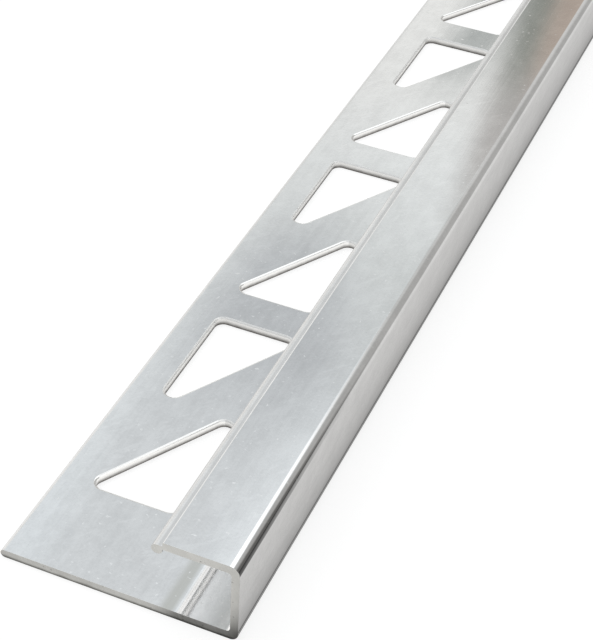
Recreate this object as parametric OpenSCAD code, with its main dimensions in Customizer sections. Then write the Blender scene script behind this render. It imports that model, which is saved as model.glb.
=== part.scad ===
/* [Stock] */
// Length of the trim
length = 1000; // [200:10:3000]
// Overall height, from the underside of the anchoring leg to the visible top face
height = 11; // [8:0.5:20]

/* [Anchoring leg] */
// Thickness of the perforated anchoring leg
flange_t = 1.1; // [0.8:0.1:2]
// Plain margin between the free edge and the holes
edge_margin = 4.4; // [2:0.1:10]
// Plain margin between the holes and the line of the lip above
inner_margin = 3.45; // [1:0.05:10]

/* [Wall and cover] */
// Thickness of the upright wall
wall_t = 0.95; // [0.7:0.05:2]
// Width of the cover, from the outer face of the wall to the tip of the lip
cover_w = 10.1; // [6:0.1:20]
// Thickness of the cover
cover_t = 1.05; // [0.7:0.05:2]
// Radius of the visible corner between wall and cover
cover_r = 1.2; // [0.4:0.1:2]
// Radius of the outer corner at the foot of the wall
foot_r = 1; // [0.4:0.1:2]
// Radius of the two inner corners of the channel
inner_r = 0.5; // [0.2:0.05:1]

/* [Lip] */
// Diameter of the bead along the free edge of the cover
bead_d = 1.3; // [0.8:0.05:2]
// Step down from the top face of the cover to the top of the bead
lip_step = 0.55; // [0.1:0.05:0.8]
// Radius of the edge above that step
nose_r = 0.2; // [0.1:0.05:0.4]

/* [Holes] */
// Side of each triangular hole across the leg, up to its sharp corners
hole_across = 11.5; // [8:0.1:20]
// Side of each triangular hole along the leg, up to its sharp corners
hole_along = 19.8; // [12:0.1:40]
// Radius of the corners of the holes
hole_r = 1.2; // [0.5:0.1:1.5]
// Width of the slanted strut between the two holes of a pair
slant_strut = 6.45; // [3:0.05:12]
// Width of the straight strut between one pair and the next
cross_strut = 5.85; // [3:0.05:12]
// Plain length between the first end and the first hole
first_gap = 12.95; // [5:0.05:40]
// Least plain length between the last hole and the other end
last_gap = 5; // [3:1:20]

/* [Hidden] */
$fn = 64;
// How far a cutting shape runs past the faces that it cuts
spill = 1;

// Slope of the long side of a hole, and how far rounding draws in the tip between it and the cross side
hole_slope = hole_along / hole_across;
tip_drawn_in = hole_r * (1 / tan(atan(hole_slope) / 2) - 1);
// The two holes of a pair are turned by 180 degrees and fill the same band of the leg
band_w = hole_across - tip_drawn_in;
// The slanted strut and the drawn-in tip, measured along the leg
slant_along = slant_strut * norm([1, hole_slope]) + tip_drawn_in * hole_slope;
pair_l = hole_along + slant_along;
pitch = pair_l + cross_strut;

overall_w = edge_margin + band_w + inner_margin + cover_w;
lip_x = overall_w - cover_w;
bead_x = lip_x + bead_d / 2;
bead_z = height - lip_step - bead_d / 2;
step_x = lip_x + bead_d;

near_holes = floor((length - first_gap - hole_along - last_gap) / pitch) + 1;
far_holes = floor((length - first_gap - pair_l - last_gap) / pitch) + 1;

// Corners of a rounded outline: where its arcs start, end and have their centres
function unit(v) = v / norm(v);
function side(pts, i, step) = unit(pts[(i + step + len(pts)) % len(pts)] - pts[i]);
function half_angle(pts, i) = acos(side(pts, i, -1) * side(pts, i, 1)) / 2;
function arc_end(pts, i, r, step) = pts[i] + side(pts, i, step) * r / tan(half_angle(pts, i));
function arc_centre(pts, i, r) =
    pts[i] + unit(side(pts, i, -1) + side(pts, i, 1)) * r / sin(half_angle(pts, i));
function corner(pts, i, r) = r == 0 ? [pts[i]] : [arc_end(pts, i, r, -1), arc_end(pts, i, r, 1)];

module rounded_outline(pts, radii) {
    polygon([for (i = [0 : len(pts) - 1]) each corner(pts, i, radii[i])]);
    for (i = [0 : len(pts) - 1])
        if (radii[i] > 0)
            translate(arc_centre(pts, i, radii[i])) circle(radii[i]);
}

module rounded_box(low, high, radii) {
    rounded_outline([low, [high.x, low.y], high, [low.x, high.y]], radii);
}

// Flat anchoring leg with a full round along its free edge
module leg_section() {
    translate([flange_t / 2, flange_t / 2]) circle(d = flange_t);
    translate([flange_t / 2, 0]) square([step_x + inner_r - flange_t / 2, flange_t]);
}

// Foot, wall and cover around the open channel
module channel_section() {
    difference() {
        rounded_box([step_x, 0], [overall_w, height], [0, foot_r, cover_r, nose_r]);
        rounded_box(
            [step_x - spill, flange_t],
            [overall_w - wall_t, height - cover_t],
            [0, inner_r, inner_r, 0]
        );
    }
}

// Bead along the free edge of the cover, one step below its top face
module lip_section() {
    translate([bead_x, bead_z]) circle(d = bead_d);
    translate([bead_x, height - cover_t])
        square([step_x + inner_r - bead_x, cover_t - lip_step]);
}

module bar() {
    rotate([90, 0, 0])
        translate([-overall_w / 2, 0, -length / 2])
            linear_extrude(length) {
                leg_section();
                channel_section();
                lip_section();
            }
}

// Right-angled triangle with its square corner at the origin and its sides along +X and +Y
module hole() {
    translate([0, 0, -spill])
        linear_extrude(flange_t + 2 * spill)
            rounded_outline([[0, 0], [hole_across, 0], [0, hole_along]], [hole_r, hole_r, hole_r]);
}

module holes() {
    band_x = edge_margin - overall_w / 2;
    first_y = first_gap - length / 2;
    for (i = [0 : near_holes - 1])
        translate([band_x + band_w, first_y + i * pitch, 0]) mirror([1, 0, 0]) hole();
    for (i = [0 : far_holes - 1])
        translate([band_x, first_y + pair_l + i * pitch, 0]) mirror([0, 1, 0]) hole();
}

module edge_trim() {
    color([0.80, 0.81, 0.82])
        difference() {
            bar();
            holes();
        }
}

edge_trim();
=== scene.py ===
"""Looks of a bright aluminium tile edge trim: an extruded bar with a row of punched holes and sawn ends."""
import math

import bmesh
import bpy
from mathutils import Matrix, Vector


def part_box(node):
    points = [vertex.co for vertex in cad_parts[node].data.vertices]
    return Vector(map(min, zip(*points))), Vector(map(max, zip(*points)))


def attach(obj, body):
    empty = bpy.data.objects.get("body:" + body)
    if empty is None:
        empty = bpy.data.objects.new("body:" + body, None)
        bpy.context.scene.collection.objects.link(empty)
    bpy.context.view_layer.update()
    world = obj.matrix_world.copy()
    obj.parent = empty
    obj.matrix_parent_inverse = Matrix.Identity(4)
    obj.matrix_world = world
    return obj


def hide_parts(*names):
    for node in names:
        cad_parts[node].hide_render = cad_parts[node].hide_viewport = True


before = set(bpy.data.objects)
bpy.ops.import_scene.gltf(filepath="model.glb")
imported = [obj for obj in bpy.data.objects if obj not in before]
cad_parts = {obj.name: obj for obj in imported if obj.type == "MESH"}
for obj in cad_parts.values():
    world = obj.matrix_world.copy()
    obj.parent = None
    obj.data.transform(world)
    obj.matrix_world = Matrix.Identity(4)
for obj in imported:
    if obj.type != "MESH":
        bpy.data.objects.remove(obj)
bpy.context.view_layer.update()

MM = 0.001

# Sizes of the section
LEG_T = 1.1 * MM
WALL_T = 0.95 * MM
COVER_W = 10.1 * MM
COVER_T = 1.05 * MM
COVER_R = 1.2 * MM
FOOT_R = 1.0 * MM
INNER_R = 0.5 * MM
BEAD_D = 1.3 * MM
LIP_STEP = 0.55 * MM
NOSE_R = 0.2 * MM
FULL_ROUND = 0.4995
CUT_EDGE = 0.06 * MM

# Sizes of the holes
HOLE_ACROSS = 11.5 * MM
HOLE_ALONG = 19.8 * MM
HOLE_R = 1.2 * MM
SLANT_STRUT = 6.45 * MM
CROSS_STRUT = 5.85 * MM
EDGE_MARGIN = 4.4 * MM
FIRST_GAP = 12.95 * MM
LAST_GAP = 5.0 * MM
ROLL_R = 0.5 * MM
ROLL_TURN = math.radians(48.0)
BURNISHED_T = 0.4 * MM
BREAKOUT = 0.05 * MM

# How close places are that count as one, and how far a test or a cut reaches past a face
SAME_PLACE = 0.002 * MM
MERGE = 0.001 * MM
FINE_MERGE = 0.0005 * MM
REACH = 0.1 * MM
FINE_REACH = 0.01 * MM
# Cosines above which a face counts as looking along a given direction: a hole's side, and a cut end
FACING = 0.7
END_FACING = 0.9
# How far the floor lies below the bar
FLOOR_DROP = 0.02 * MM

# Places of the finishes among the piece's materials
DRAWN, SLANTED_SIDE, SAWN, EDGE, CHANNEL, LIP, CROSS_SIDE, LONG_SIDE = range(8)

# How much slower the drawing lines change along the bar than across it
LINE_STRETCH = 0.006
# Painted shade on the leg under the cover, in mm from its free edge: where each band starts, is full,
# begins to fade and ends
PAINTED_SHADE_UNDER_LIP = (18.9, 20.1, 20.6, 21.3)
PAINTED_SHADE_IN_CHANNEL = (23.2, 25.6, 25.9, 26.6)
# Where the leg leans inside the channel, in mm from its free edge
LEAN = (21.2, 24.2)
# Greyer lines along the lip, in mm from its tip, given in the same way: a line near the tip, and painted
# shade near the step
LIP_TIP_LINE = (-0.1, 0.0, 0.2, 0.34)
LIP_STEP_SHADE = (0.68, 0.84, 1.04, 1.18)

# The studio's wall beyond the far end: degrees above the floor and the colour there
OVERHEAD = 90.0
FAR_WALL = (
    (0.0, (0.76, 0.755, 0.74)),
    (27.0, (0.83, 0.83, 0.81)),
    (31.0, (0.845, 0.85, 0.835)),
    (33.5, (0.795, 0.815, 0.81)),
    (37.0, (0.715, 0.74, 0.74)),
    (46.0, (0.735, 0.775, 0.80)),
    (51.0, (0.76, 0.80, 0.82)),
    (60.0, (1.18, 1.20, 1.22)),
    (64.0, (1.14, 1.16, 1.17)),
    (70.0, (0.66, 0.67, 0.68)),
)

# Places worked out from the frame
LOW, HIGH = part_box("edge_trim")
FREE_X, WALL_X = LOW.x, HIGH.x
NEAR_Y, FAR_Y = LOW.y, HIGH.y
TOP_Z = HIGH.z
LENGTH = FAR_Y - NEAR_Y
INNER_X = WALL_X - WALL_T
LIP_X = WALL_X - COVER_W
STEP_X = LIP_X + BEAD_D
COVER_Z = TOP_Z - COVER_T
LIP_Z = TOP_Z - LIP_STEP
BEAD_Z = LIP_Z - BEAD_D

HOLE_SLOPE = HOLE_ALONG / HOLE_ACROSS
CROSS_HALF = math.atan(HOLE_SLOPE) / 2
LONG_HALF = math.pi / 4 - CROSS_HALF
TIP_DRAWN_IN = HOLE_R * (1 / math.tan(CROSS_HALF) - 1)
BAND_W = HOLE_ACROSS - TIP_DRAWN_IN
PAIR_L = HOLE_ALONG + SLANT_STRUT * math.hypot(1, HOLE_SLOPE) + TIP_DRAWN_IN * HOLE_SLOPE
PITCH = PAIR_L + CROSS_STRUT
NEAR_HOLES = math.floor((LENGTH - FIRST_GAP - HOLE_ALONG - LAST_GAP) / PITCH) + 1
FAR_HOLES = math.floor((LENGTH - FIRST_GAP - PAIR_L - LAST_GAP) / PITCH) + 1


# Shader maths
class Shade:
    """One socket of a node tree. Arithmetic on it adds Math nodes, and node() adds any other node.

    Sockets go by name, or by number on Math, Mix and Map Range nodes, where names repeat."""

    def __init__(self, tree, socket=None):
        self.tree = tree
        self.socket = socket

    def node(self, kind, settings=None, sockets=None, out=0):
        made = self.tree.nodes.new(kind)
        for name, value in (settings or {}).items():
            if name == "stops":
                set_stops(made.color_ramp, value)
            else:
                setattr(made, name, value)
        for name, value in (sockets or {}).items():
            if isinstance(value, Shade):
                self.tree.links.new(value.socket, made.inputs[name])
            else:
                made.inputs[name].default_value = value
        return Shade(self.tree, made.outputs[out])

    def math(self, operation, *values):
        return self.node("ShaderNodeMath", {"operation": operation}, dict(enumerate(values)))

    def __add__(self, other):
        return self.math("ADD", self, other)

    def __radd__(self, other):
        return self.math("ADD", other, self)

    def __sub__(self, other):
        return self.math("SUBTRACT", self, other)

    def __rsub__(self, other):
        return self.math("SUBTRACT", other, self)

    def __mul__(self, other):
        return self.math("MULTIPLY", self, other)

    def __rmul__(self, other):
        return self.math("MULTIPLY", other, self)

    def __truediv__(self, other):
        return self.math("DIVIDE", self, other)

    def ease(self, start, end):
        """0 up to start, 1 from end on, and smooth between them."""
        settings = {"interpolation_type": "SMOOTHSTEP"}
        return self.node("ShaderNodeMapRange", settings, {0: self, 1: start, 2: end, 3: 0.0, 4: 1.0})

    def climb(self, start, end, top):
        """0 up to start, top from end on, and straight between them."""
        return self.node("ShaderNodeMapRange", None, {0: self, 1: start, 2: end, 3: 0.0, 4: top})

    def between(self, low, inner_low, inner_high, high):
        """1 inside the inner pair, 0 outside the outer pair, and smooth between them."""
        return self.ease(low, inner_low) * (1.0 - self.ease(inner_high, high))

    def blend(self, first, second):
        """A colour that goes from first to second as this value goes from 0 to 1."""
        return self.node("ShaderNodeMix", {"data_type": "RGBA"}, {0: self, 6: first, 7: second}, out=2)

    def stretched(self, x, y, z):
        """A vector scaled along each axis."""
        return self.node("ShaderNodeVectorMath", {"operation": "MULTIPLY"}, {0: self, 1: (x, y, z)})

    def turned(self, x=0.0, y=0.0, z=0.0):
        """A vector turned by these angles, in degrees."""
        angles = (math.radians(x), math.radians(y), math.radians(z))
        return self.node("ShaderNodeMapping", None, {"Vector": self, "Rotation": angles})

    def part(self, axis):
        """One coordinate of a vector: 0, 1 or 2 for x, y or z."""
        return self.node("ShaderNodeSeparateXYZ", None, {0: self}, out=axis)

    def noise(self, scale, detail=2.0, roughness=0.5):
        """Soft noise over a vector, finer as scale grows."""
        sockets = {"Vector": self, "Scale": scale, "Detail": detail, "Roughness": roughness}
        return self.node("ShaderNodeTexNoise", None, sockets)

    def bump(self, strength, depth):
        """A surface direction that follows this value as a height."""
        sockets = {"Strength": strength, "Distance": depth, "Height": self}
        return self.node("ShaderNodeBump", None, sockets)


def set_stops(ramp, stops):
    while len(ramp.elements) < len(stops):
        ramp.elements.new(1.0)
    for element, (place, colour) in zip(ramp.elements, stops):
        element.position = place
        element.color = (*colour, 1.0)


def grey(value):
    return (value, value, value, 1.0)


def new_finish(name):
    """A metal material with its shader node, and the object's own coordinates to pattern it."""
    material = bpy.data.materials.new(name)
    material.use_nodes = True
    shader = material.node_tree.nodes["Principled BSDF"]
    shader.inputs["Metallic"].default_value = 1.0
    place = Shade(material.node_tree).node("ShaderNodeTexCoord", out="Object")
    return material, shader, place


def feed(shader, name, value):
    shader.id_data.links.new(value.socket, shader.inputs[name])


def drawn_finish():
    """Bright extruded face: cloudy, with lines along the bar, lighter specks and painted shade on the leg
    under the cover.
    """
    material, shader, place = new_finish("drawn_aluminium")
    along = place.stretched(1.0, LINE_STRETCH, 1.0)
    streak = along.noise(1500.0, 3.0, 0.6)
    fine = place.noise(3000.0, 2.0)
    cloud = place.stretched(1.0, 0.6, 1.0).noise(420.0, 4.0, 0.6)
    speck = place.noise(2300.0, 0.0).ease(0.74, 0.88)
    slanted = place.turned(z=40.0)
    wisp = slanted.stretched(1.0, 0.3, 1.0).noise(1300.0, 3.0, 0.6).ease(0.52, 0.78)
    tone = 0.5 * cloud + 0.25 * fine + 0.25 * streak + 0.14 * wisp
    metal = tone.ease(0.32, 0.68).blend((0.845, 0.847, 0.849, 1), (0.975, 0.977, 0.979, 1))
    across = (place.part(0) - FREE_X) / MM
    on_leg = 1.0 - (place.part(2) / MM).ease(1.2, 1.6)
    # Painted shade where the lip and cover hang over the leg
    shade_under_lip = on_leg * across.between(*PAINTED_SHADE_UNDER_LIP)
    metal = (0.85 * shade_under_lip).blend(metal, (0.675, 0.668, 0.627, 1))
    # Painted shade deeper in the channel, towards the inner wall
    inside = on_leg * across.between(*PAINTED_SHADE_IN_CHANNEL)
    metal = (0.5 * inside).blend(metal, (0.71, 0.72, 0.72, 1))
    feed(shader, "Base Color", speck.blend(metal, grey(0.98)))
    feed(shader, "Roughness", 0.04 + 0.025 * cloud + 0.015 * streak + 0.14 * speck)
    # Inside the channel the leg leans a little, which shifts what it mirrors
    sunk = on_leg * across.climb(*LEAN, 75.0)
    height = 0.5 * along.noise(5200.0, 3.0, 0.6) + streak - sunk
    feed(shader, "Normal", height.bump(0.5, 1.5e-6))
    return material


def plain_finish(name, darker, lighter, roughness, relief):
    """Duller extruded face: fine lines along the bar, a faint cloud, a greyer line along the lip and
    painted shade on the lip by the step.
    """
    material, shader, place = new_finish(name)
    along = place.stretched(1.0, LINE_STRETCH, 1.0)
    streak = along.noise(2600.0, 3.0, 0.6)
    cloud = place.noise(700.0, 3.0)
    tone = (0.7 * streak + 0.3 * cloud).ease(0.32, 0.68)
    over_lip = (place.part(0) - LIP_X) / MM
    on_top = (place.part(2) / MM).ease(9.6, 9.8)
    # The second line along the lip is painted shade where the lip meets the cover's step
    lip_line_and_step_shade = 1.5 * over_lip.between(*LIP_TIP_LINE) + over_lip.between(*LIP_STEP_SHADE)
    metal = tone.blend(grey(darker), grey(lighter))
    feed(shader, "Base Color", (0.6 * on_top * lip_line_and_step_shade).blend(metal, grey(0.83 * darker)))
    feed(shader, "Roughness", roughness + 0.10 * cloud)
    feed(shader, "Normal", streak.bump(0.5, relief))
    return material


def sheared_finish(name, bright, roughness, smears):
    """Rolled edge and wall of a punched hole: smeared and bright above; rough and dark below, where the
    dark is partly the fractured metal and partly painted shade.
    """
    material, shader, place = new_finish(name)
    height = place.part(2) / MM
    ragged = place.noise(1500.0, 2.0) - 0.5
    # Dark lower wall: partly the fractured metal, partly painted shade for the shadowed floor that the wall
    # mirrors
    torn_and_shade = 1.0 - (height + 0.2 * ragged).ease(-0.05, 0.88)
    lines = place.stretched(1.0, 1.0, 0.05).noise(6500.0, 2.0)
    smear = place.noise(2300.0, 2.0)
    feed(shader, "Base Color", torn_and_shade.blend((bright, bright, 0.99 * bright, 1), (0.10, 0.092, 0.085, 1)))
    feed(shader, "Roughness", roughness + 0.08 * lines + 0.15 * torn_and_shade)
    relief = 0.4 * lines + smears * smear
    feed(shader, "Normal", relief.bump(0.6, 8e-6))
    return material


def sawn_finish():
    """Cut end: dull, with close saw lines that lean a little, and painted shade along its lower edge, where
    it meets the floor.
    """
    material, shader, place = new_finish("sawn_aluminium")
    lean = place.turned(y=24.0)
    lines = lean.stretched(1.0, 1.0, 0.03).noise(5200.0, 3.0, 0.65)
    wide = lean.stretched(1.0, 1.0, 0.05).noise(1300.0, 1.0)
    stain = place.noise(420.0, 3.0)
    height = place.part(2) / MM
    # Painted shade along the lower edge, where the end meets the floor
    painted_contact_shade = 1.0 - (height + 0.3 * (stain - 0.5)).ease(0.05, 0.5)
    tone = (0.6 * stain + 0.4 * lines).ease(0.35, 0.7)
    metal = tone.blend((0.56, 0.56, 0.54, 1), (0.67, 0.67, 0.65, 1))
    nick = place.noise(2100.0, 1.0).ease(0.66, 0.76)
    metal = (0.6 * nick).blend(metal, (0.25, 0.25, 0.24, 1))
    feed(shader, "Base Color", painted_contact_shade.blend(metal, (0.16, 0.16, 0.15, 1)))
    feed(shader, "Roughness", 0.30 + 0.16 * lines + 0.10 * stain)
    cuts = lines + 0.8 * wide
    feed(shader, "Normal", cuts.bump(0.6, 7e-6))
    return material


# Modelling moves
def start(add, **place):
    """Adds a primitive with nothing else selected and opens it for editing."""
    if bpy.context.object and bpy.context.object.mode != "OBJECT":
        bpy.ops.object.mode_set(mode="OBJECT")
    bpy.ops.object.select_all(action="DESELECT")
    add(**place)
    bpy.ops.object.transform_apply(location=True, rotation=True, scale=True)
    bpy.ops.object.mode_set(mode="EDIT")


def done(name):
    """Closes the open mesh and names it."""
    bpy.ops.object.mode_set(mode="OBJECT")
    made = bpy.context.object
    made.name = name
    made.data.name = name
    return made


def pick(kind, test):
    """Selects the vertices, edges or faces of the open mesh for which test holds."""
    bpy.ops.mesh.select_mode(type=kind)
    bpy.ops.mesh.select_all(action="DESELECT")
    data = bpy.context.object.data
    mesh = bmesh.from_edit_mesh(data)
    for item in {"VERT": mesh.verts, "EDGE": mesh.edges, "FACE": mesh.faces}[kind]:
        item.select_set(test(item))
    mesh.select_flush_mode()
    bmesh.update_edit_mesh(data)


def near(a, b):
    return abs(a - b) < SAME_PLACE


def at(**place):
    """A test that holds where every corner of an edge or face has these coordinates."""
    return lambda item: all(near(getattr(v.co, k), p) for v in item.verts for k, p in place.items())


def span(axis, low, high, **place):
    """A test for one edge from low to high along an axis, at the other coordinates given."""
    def test(item):
        ends = sorted(getattr(v.co, axis) for v in item.verts)
        return near(ends[0], low) and near(ends[-1], high) and at(**place)(item)
    return test


def pull(x=0.0, y=0.0, z=0.0):
    """Extrudes what is selected by this much."""
    bpy.ops.mesh.extrude_region_move(TRANSFORM_OT_translate={"value": (x, y, z)})


def apply(made, kind, **settings):
    """Adds a modifier with these settings and applies it."""
    bpy.ops.object.select_all(action="DESELECT")
    made.select_set(True)
    bpy.context.view_layer.objects.active = made
    modifier = made.modifiers.new(kind.lower(), kind)
    for name, value in settings.items():
        setattr(modifier, name, value)
    bpy.ops.object.modifier_apply(modifier=modifier.name)


def round_long_edges(radius, segments, *places):
    """Rounds edges along the bar, each given by its place across and its height."""
    tests = [at(x=x, z=z) for x, z in places]
    pick("EDGE", lambda edge: any(test(edge) for test in tests))
    bpy.ops.mesh.bevel(offset=radius, segments=segments, profile=0.5, affect="EDGES", clamp_overlap=False)


def extruded_bar():
    """The whole section, drawn out edge by edge at the near end, pulled along the bar and rounded."""
    start(bpy.ops.mesh.primitive_plane_add, size=1.0, rotation=(math.pi / 2, 0.0, 0.0))
    bpy.ops.transform.resize(value=(INNER_X - FREE_X, 1.0, LEG_T))
    bpy.ops.transform.translate(value=((FREE_X + INNER_X) / 2, NEAR_Y, LEG_T / 2))
    pick("EDGE", at(x=INNER_X))
    pull(x=WALL_T)
    pick("EDGE", span("x", INNER_X, WALL_X, z=LEG_T))
    pull(z=COVER_Z - LEG_T)
    pull(z=COVER_T)
    pick("EDGE", span("z", COVER_Z, TOP_Z, x=INNER_X))
    pull(x=STEP_X - INNER_X)
    pick("FACE", lambda face: min(v.co.z for v in face.verts) > COVER_Z - REACH)
    bpy.ops.mesh.bisect(plane_co=(0.0, NEAR_Y, LIP_Z), plane_no=(0.0, 0.0, 1.0))
    pick("EDGE", span("z", COVER_Z, LIP_Z, x=STEP_X))
    pull(x=-BEAD_D)
    pick("EDGE", span("x", LIP_X, STEP_X, z=COVER_Z))
    pull(z=BEAD_Z - COVER_Z)
    bpy.ops.mesh.select_all(action="SELECT")
    pull(y=LENGTH)
    bpy.ops.mesh.select_all(action="SELECT")
    bpy.ops.mesh.remove_doubles(threshold=MERGE)
    bpy.ops.mesh.normals_make_consistent(inside=False)
    bpy.ops.mesh.dissolve_limited(angle_limit=math.radians(1.0))
    round_long_edges(LEG_T * FULL_ROUND, 8, (FREE_X, 0.0), (FREE_X, LEG_T))
    round_long_edges(FOOT_R, 10, (WALL_X, 0.0))
    round_long_edges(COVER_R, 16, (WALL_X, TOP_Z))
    round_long_edges(NOSE_R, 5, (STEP_X, TOP_Z))
    round_long_edges(BEAD_D * FULL_ROUND, 8, (LIP_X, LIP_Z), (LIP_X, BEAD_Z), (STEP_X, BEAD_Z))
    round_long_edges(INNER_R, 6, (INNER_X, LEG_T), (INNER_X, COVER_Z))
    pick("EDGE", lambda edge: at(y=NEAR_Y)(edge) or at(y=FAR_Y)(edge))
    bpy.ops.mesh.bevel(offset=CUT_EDGE, segments=2, profile=0.5, affect="EDGES", clamp_overlap=True)
    return done("edge_trim_bar")


def punch():
    """A triangular punch, square at its right near corner, that widens to roll the hole's upper edge."""
    radius = HOLE_R + ROLL_R * math.sin(ROLL_TURN)
    head = 2 * MM
    corners = (
        (-HOLE_R, HOLE_R),
        (HOLE_R / math.tan(CROSS_HALF) - HOLE_ACROSS, HOLE_R),
        (-HOLE_R, HOLE_ALONG - HOLE_R / math.tan(LONG_HALF)),
    )
    shoulder_z = LEG_T + FINE_REACH
    corner_x = FREE_X + EDGE_MARGIN + BAND_W
    corner_y = NEAR_Y + FIRST_GAP
    for index, (x, y) in enumerate(corners):
        place = (corner_x + x, corner_y + y, shoulder_z + head / 2)
        size = {"vertices": 64, "radius": radius, "depth": head, "location": place}
        if index == 0:
            start(bpy.ops.mesh.primitive_cylinder_add, **size)
        else:
            bpy.ops.mesh.primitive_cylinder_add(**size)
    bpy.ops.mesh.select_all(action="SELECT")
    bpy.ops.mesh.convex_hull()
    bpy.ops.mesh.select_all(action="SELECT")
    bpy.ops.mesh.dissolve_limited(angle_limit=math.radians(0.5))
    pick("FACE", at(z=shoulder_z))
    steps = 6
    turns = [ROLL_TURN * i / steps for i in range(steps + 1)]
    for before, after in zip(turns, turns[1:]):
        inwards = ROLL_R * (math.sin(after) - math.sin(before))
        downwards = ROLL_R * (math.cos(before) - math.cos(after))
        bpy.ops.mesh.inset(thickness=inwards, depth=downwards, use_even_offset=True)
    pull(z=-BURNISHED_T)
    below = REACH
    rolled = ROLL_R * (1 - math.cos(ROLL_TURN))
    pull(z=-(shoulder_z - rolled - BURNISHED_T + below))
    middle = (HOLE_ACROSS + HOLE_ALONG - math.hypot(HOLE_ACROSS, HOLE_ALONG)) / 2
    grow = 1 + BREAKOUT / middle
    centre = (corner_x - middle, corner_y + middle, 0.0)
    bpy.ops.transform.resize(value=(grow, grow, 1.0), center_override=centre)
    pull(z=below - head)
    bpy.ops.mesh.select_all(action="SELECT")
    bpy.ops.mesh.normals_make_consistent(inside=False)
    return done("punch")


def finish_list():
    """The finishes, each at its own place."""
    made = {
        EDGE: plain_finish("edge_aluminium", darker=0.79, lighter=0.93, roughness=0.28, relief=2e-6),
        CHANNEL: plain_finish("channel_aluminium", darker=0.94, lighter=0.98, roughness=0.27, relief=2e-6),
        LIP: plain_finish("lip_aluminium", darker=0.97, lighter=0.99, roughness=0.08, relief=4e-7),
        SLANTED_SIDE: sheared_finish("bright_sheared_aluminium", bright=0.97, roughness=0.18, smears=0.7),
        # The cross sides are rougher, and their darker colour is painted shade for the shadowed floor they
        # mirror
        CROSS_SIDE: sheared_finish("dull_painted_shade_sheared_aluminium", bright=0.80, roughness=0.36, smears=2.4),
        LONG_SIDE: sheared_finish("rough_sheared_aluminium", bright=0.93, roughness=0.52, smears=2.4),
        DRAWN: drawn_finish(),
        SAWN: sawn_finish(),
    }
    return [made[place] for place in sorted(made)]


def coat(made, finishes):
    for finish in finishes:
        made.data.materials.append(finish)


def bar_finish(face):
    """Sawn ends, dull leg edge, bead and cover inside, smooth lower bead and inner wall, else bright."""
    x, z = face.center.x, face.center.z
    inner_round_x = INNER_X - INNER_R
    if abs(face.normal.y) > END_FACING:
        return SAWN
    if x < FREE_X + LEG_T / 2:
        return EDGE
    if x < STEP_X and BEAD_Z + BEAD_D / 3 < z < LIP_Z + REACH:
        return EDGE
    if x < STEP_X and LEG_T + FINE_REACH < z < BEAD_Z + BEAD_D / 2:
        return LIP
    if inner_round_x < x < INNER_X + FINE_REACH and LEG_T + 2 * FINE_REACH < z < COVER_Z - 2 * FINE_REACH:
        return LIP
    if x < inner_round_x and abs(z - COVER_Z) < REACH:
        return CHANNEL
    return DRAWN


def punch_finish(face):
    """The finish that a face of the near punch leaves on the side of a hole."""
    slant = Vector((-HOLE_ALONG, HOLE_ACROSS)).normalized()
    flat = face.normal.xy
    if flat.dot(slant) > FACING * flat.length:
        return SLANTED_SIDE
    if flat.x > FACING * flat.length:
        return LONG_SIDE
    return CROSS_SIDE


def edge_trim():
    bar = extruded_bar()
    finishes = finish_list()
    coat(bar, finishes)
    for face in bar.data.polygons:
        face.material_index = bar_finish(face)

    near_punch = punch()
    coat(near_punch, finishes)
    for face in near_punch.data.polygons:
        face.material_index = punch_finish(face)
    bpy.ops.object.duplicate(linked=False)
    far_punch = bpy.context.object
    middle = (FREE_X + EDGE_MARGIN + BAND_W / 2, NEAR_Y + FIRST_GAP + PAIR_L / 2, 0.0)
    bpy.ops.object.mode_set(mode="EDIT")
    bpy.ops.mesh.select_all(action="SELECT")
    bpy.ops.transform.rotate(value=math.pi, orient_axis="Z", center_override=middle)
    bpy.ops.object.mode_set(mode="OBJECT")
    for row, count in ((near_punch, NEAR_HOLES), (far_punch, FAR_HOLES)):
        apply(row, "ARRAY", count=count, use_relative_offset=False, use_constant_offset=True,
              constant_offset_displace=(0.0, PITCH, 0.0))
        apply(bar, "BOOLEAN", operation="DIFFERENCE", object=row, solver="EXACT", material_mode="INDEX")
        bpy.data.objects.remove(row)

    bpy.ops.object.mode_set(mode="EDIT")
    bpy.ops.mesh.select_all(action="SELECT")
    bpy.ops.mesh.remove_doubles(threshold=FINE_MERGE)
    bpy.ops.object.mode_set(mode="OBJECT")
    bpy.ops.object.shade_smooth_by_angle(angle=math.radians(32.0))
    apply(bar, "WEIGHTED_NORMAL", mode="FACE_AREA", weight=50, keep_sharp=True)
    bar.name = "punched_edge_trim"
    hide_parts("edge_trim")
    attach(bar, "root")


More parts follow.
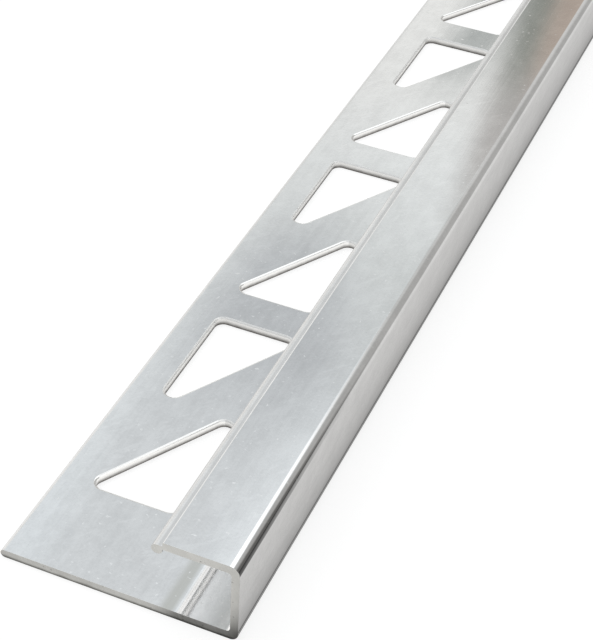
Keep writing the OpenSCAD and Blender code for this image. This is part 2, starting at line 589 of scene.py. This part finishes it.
# Studio
def floor():
    """Pale floor, white to the eye. The metal sees painted shadow on it near the bar and a painted dark
    patch off its near corner.
    """
    bpy.ops.object.select_all(action="DESELECT")
    bpy.ops.mesh.primitive_plane_add(size=30.0, location=(0.0, 0.0, -FLOOR_DROP))
    made = bpy.context.object
    made.name = "floor"
    material = bpy.data.materials.new("pale_floor")
    material.use_nodes = True
    tree = material.node_tree
    tree.nodes.clear()
    pen = Shade(tree)
    place = pen.node("ShaderNodeTexCoord", out="Object")
    x = place.part(0)
    y = place.part(1)
    seen = pen.node("ShaderNodeLightPath", out="Is Camera Ray")
    mirrored = pen.node("ShaderNodeLightPath", out="Is Glossy Ray")
    lit = pen.node("ShaderNodeBsdfDiffuse", None, {"Color": grey(0.30)})
    white = pen.node("ShaderNodeEmission", None, {"Color": seen.blend(grey(0.0), grey(0.75))})
    to_eye = pen.node("ShaderNodeAddShader", None, {0: lit, 1: white})
    right = x - WALL_X
    away = pen.math("ABSOLUTE", right)
    # Painted shadow, seen only in the metal: the floor dims close to the wall and just left of the free
    # edge
    close = (0.13 + 0.59 * away / (away + 0.9 * MM)) * (1.0 - 0.38 * right.ease(20 * MM, 110 * MM))
    lit_side = close + (1.0 - close) * (1.0 - right.ease(-2.5 * MM, -0.2 * MM))
    lit_side = lit_side * (1.0 - 0.20 * (x - FREE_X).between(-20 * MM, -14 * MM, -1 * MM, 1 * MM))
    corner = (y - NEAR_Y - 1.05 * right).ease(-10 * MM, 44 * MM)
    shaded = (1.0 - corner) * right.ease(4.5 * MM, 8.5 * MM)
    front = NEAR_Y - y
    # Painted shadow in front of the near end, darkest in front of the wall and cover
    painted_contact_shadow = front.between(-1 * MM, 0.0, 0.7 * MM, 3.5 * MM)
    painted_front_shadow = right.ease(-11 * MM, -7 * MM) * painted_contact_shadow
    strength = lit_side * (1.0 - 0.9 * shaded) * (1.0 - 0.2 * painted_contact_shadow) * (1.0 - 0.72 * painted_front_shadow)
    warm_white = (1.0, 0.99, 0.975, 1)
    in_metal = pen.node("ShaderNodeEmission", None, {"Color": strength.blend(grey(0.0), warm_white)})
    both = pen.node("ShaderNodeMixShader", None, {0: mirrored, 1: to_eye, 2: in_metal})
    end = tree.nodes.new("ShaderNodeOutputMaterial")
    tree.links.new(both.socket, end.inputs["Surface"])
    made.data.materials.append(material)


def surround():
    """Studio as the metal sees it, by degrees of rise above the floor and of turn from +Y towards +X.

    A bright panel hangs high beyond the far end, a window is at the left and a lamp at the right. Low
    beyond the far end it is dim in places, and there is a dark gap at the right."""
    world = bpy.data.worlds.new("studio")
    bpy.context.scene.world = world
    world.use_nodes = True
    tree = world.node_tree
    tree.nodes.clear()
    pen = Shade(tree)
    way = pen.node("ShaderNodeTexCoord", out="Generated")
    x = way.part(0)
    y = way.part(1)
    z = way.part(2)
    degree = 180 / math.pi
    rise = degree * pen.math("ARCSINE", z)
    turn = degree * pen.math("ARCTAN2", x, y)
    stops = [(angle / OVERHEAD, colour) for angle, colour in FAR_WALL]
    room = pen.node("ShaderNodeValToRGB", {"stops": stops}, {0: rise / OVERHEAD})
    back = 1.0 - turn.between(-115.0, -85.0, 85.0, 115.0)
    room = (back * (1.0 - rise.ease(50.0, 62.0))).blend(room, (0.60, 0.61, 0.61, 1))
    band = turn + 21.5 + 0.93 * (rise - 39.0)
    low = rise - 0.7 * pen.math("MAXIMUM", band, -1.0)
    trough = band.between(-5.0, -2.2, 2.0, 7.0) * low.ease(35.4, 38.4) * (1.0 - rise.ease(49.0, 56.0))
    high = (rise - 1.6 * band.ease(0.2, 2.2)).ease(38.2, 43.5)
    room = trough.blend(room, high.blend((0.505, 0.525, 0.54, 1), (0.65, 0.675, 0.69, 1)))
    window = turn.between(-125.0, -108.0, -44.0, -32.0) * (1.0 - rise.ease(38.0, 54.0))
    panes = rise.ease(8.0, 16.0).blend((1.10, 1.09, 1.07, 1), (0.85, 0.845, 0.83, 1))
    room = window.blend(room, panes)
    right_side = turn.between(-9.0, -1.0, 66.0, 82.0) * (1.0 - rise.ease(43.0, 50.0))
    right_wall = turn.ease(8.0, 28.0).blend((0.61, 0.605, 0.595, 1), (0.41, 0.405, 0.395, 1))
    room = right_side.blend(room, right_wall)
    fade = turn.ease(-20.0, -17.0) * rise.between(35.0, 38.0, 40.5, 43.0)
    room = (0.32 * fade).blend(room, (0.48, 0.50, 0.49, 1))
    left_fade = (1.0 - turn.ease(-20.0, -15.5)) * rise.between(27.0, 29.0, 35.5, 37.5)
    room = (0.07 * left_fade).blend(room, grey(0.0))
    leaning = turn + 0.6 * (rise - 29.4)
    spot = leaning.between(-16.4, -15.0, -14.2, -13.8) * (1.0 - rise.ease(29.6, 32.0))
    room = spot.blend(room, (0.42, 0.44, 0.43, 1))
    edge = turn + 13.6 + 0.22 * (rise - 29.3)
    patch = edge.ease(-0.75, 0.6) * (1.0 - turn.ease(-8.0, -1.0)) * (1.0 - rise.ease(32.9, 37.6))
    dim = edge.ease(0.78, 1.58).blend((0.27, 0.283, 0.257, 1), (0.44, 0.371, 0.321, 1))
    room = patch.blend(room, rise.ease(29.4, 32.0).blend(dim, (0.475, 0.46, 0.445, 1)))
    right_lamp = turn.between(70.0, 84.0, 112.0, 130.0) * rise.between(24.0, 32.0, 70.0, 80.0)
    room = right_lamp.blend(room, (1.12, 1.12, 1.11, 1))
    gap = turn.between(41.5, 48.5, 62.0, 76.0) * (1.0 - rise.ease(12.0, 42.0))
    room = gap.blend(room, (0.12, 0.117, 0.112, 1))
    panel = (rise + turn.ease(-20.0, -8.0)).between(42.5, 50.5, 58.0, 68.0)
    panel = panel * turn.between(-24.8, -18.0, 45.0, 62.0)
    room = panel.blend(room, (1.25, 1.26, 1.27, 1))
    seen = pen.node("ShaderNodeLightPath", out="Is Camera Ray")
    light = pen.node("ShaderNodeBackground", None, {"Color": seen.blend(room, grey(1.0)), "Strength": 1.0})
    end = tree.nodes.new("ShaderNodeOutputWorld")
    tree.links.new(light.socket, end.inputs["Surface"])


def soft_lamp():
    """A wide lamp above the left side. It lights the floor, and the metal doesn't mirror it."""
    lamp = bpy.data.lights.new("overhead", "AREA")
    lamp.energy = 9.0
    lamp.shape = "RECTANGLE"
    lamp.size = 1.2
    lamp.size_y = 2.0
    made = bpy.data.objects.new("overhead", lamp)
    target = Vector((0.0, -0.2, 0.0))
    made.location = (-0.5, -0.3, 1.6)
    made.rotation_euler = (made.location - target).to_track_quat("Z", "Y").to_euler()
    made.visible_glossy = False
    bpy.context.scene.collection.objects.link(made)


def camera():
    """Close three-quarter view down on the near end."""
    eye = Vector((60.912, -610.421, 141.313)) * MM
    heading = math.radians(20.894)
    pitch = math.radians(90 - 39.099)
    roll = math.radians(3.364)
    data = bpy.data.cameras.new("camera")
    data.lens = 97.45
    data.sensor_width = 36.0
    data.clip_start = 0.01
    made = bpy.data.objects.new("camera", data)
    turn = Matrix.Rotation(heading, 4, "Z") @ Matrix.Rotation(pitch, 4, "X") @ Matrix.Rotation(roll, 4, "Z")
    made.matrix_world = Matrix.Translation(eye) @ turn
    bpy.context.scene.collection.objects.link(made)
    bpy.context.scene.camera = made


camera()
edge_trim()
floor()
surround()
soft_lamp()
bpy.context.scene.view_settings.view_transform = "Standard"
bpy.context.scene.cycles.glossy_bounces = 10
